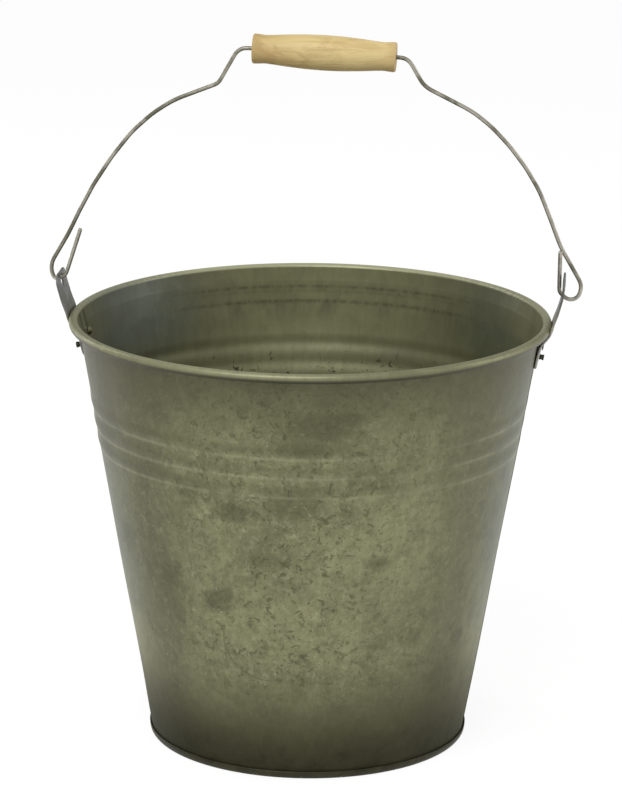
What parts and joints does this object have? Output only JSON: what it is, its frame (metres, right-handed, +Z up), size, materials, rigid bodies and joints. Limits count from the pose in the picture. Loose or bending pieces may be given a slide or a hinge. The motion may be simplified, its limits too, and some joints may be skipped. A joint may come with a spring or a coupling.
{
  "type": "metal bucket",
  "caption": "Tapered sheet-metal bucket with a rolled rim, pressed ribs, strap ears, a bent wire bail and a turned wooden grip.",
  "frame": {"origin": "middle of the foot's ring, on the ground", "axes": "+Z up; the ears and the bail's swing axis lie along X; the front half of the body faces -Y"},
  "size_m": [0.3215, 0.29, 0.4301],
  "materials": {
    "front_wall": "weathered dull zinc, mottled",
    "rear_wall": "weathered dull zinc, mottled",
    "base": "weathered dull zinc, dark with dirt",
    "foot_band": "weathered dull zinc, dark with dirt",
    "rim_wire": "dull steel",
    "left_ear": "weathered grey steel",
    "right_ear": "weathered grey steel",
    "left_upper_rivet": "dark weathered steel",
    "left_lower_rivet": "dark weathered steel",
    "right_upper_rivet": "dark weathered steel",
    "right_lower_rivet": "dark weathered steel",
    "bail": "dull steel wire with a yellowish film",
    "grip": "bare light turned wood, lightly soiled"
  },
  "bodies": {
    "bucket": {"front_wall": "front_wall", "rear_wall": "rear_wall", "base": "base", "foot_band": "foot_band", "rim_wire": "rim_wire", "left_ear": "left_ear", "right_ear": "right_ear", "left_upper_rivet": "left_upper_rivet", "left_lower_rivet": "left_lower_rivet", "right_upper_rivet": "right_upper_rivet", "right_lower_rivet": "right_lower_rivet"},
    "bail": {"bail": "bail"},
    "grip": {"grip": "grip"}
  },
  "joints": [
    {"name": "bail_swing", "type": "hinge", "parent": "bucket", "child": "bail", "pos_m": [0, 0, 0.2779], "axis": [1, 0, 0], "range_deg": [-90, 90]},
    {"name": "grip_spin", "type": "hinge", "parent": "bail", "child": "grip", "pos_m": [0.00725, 0, 0.4194], "axis": [0.9993, 0, -0.0384], "continuous": true}
  ]
}
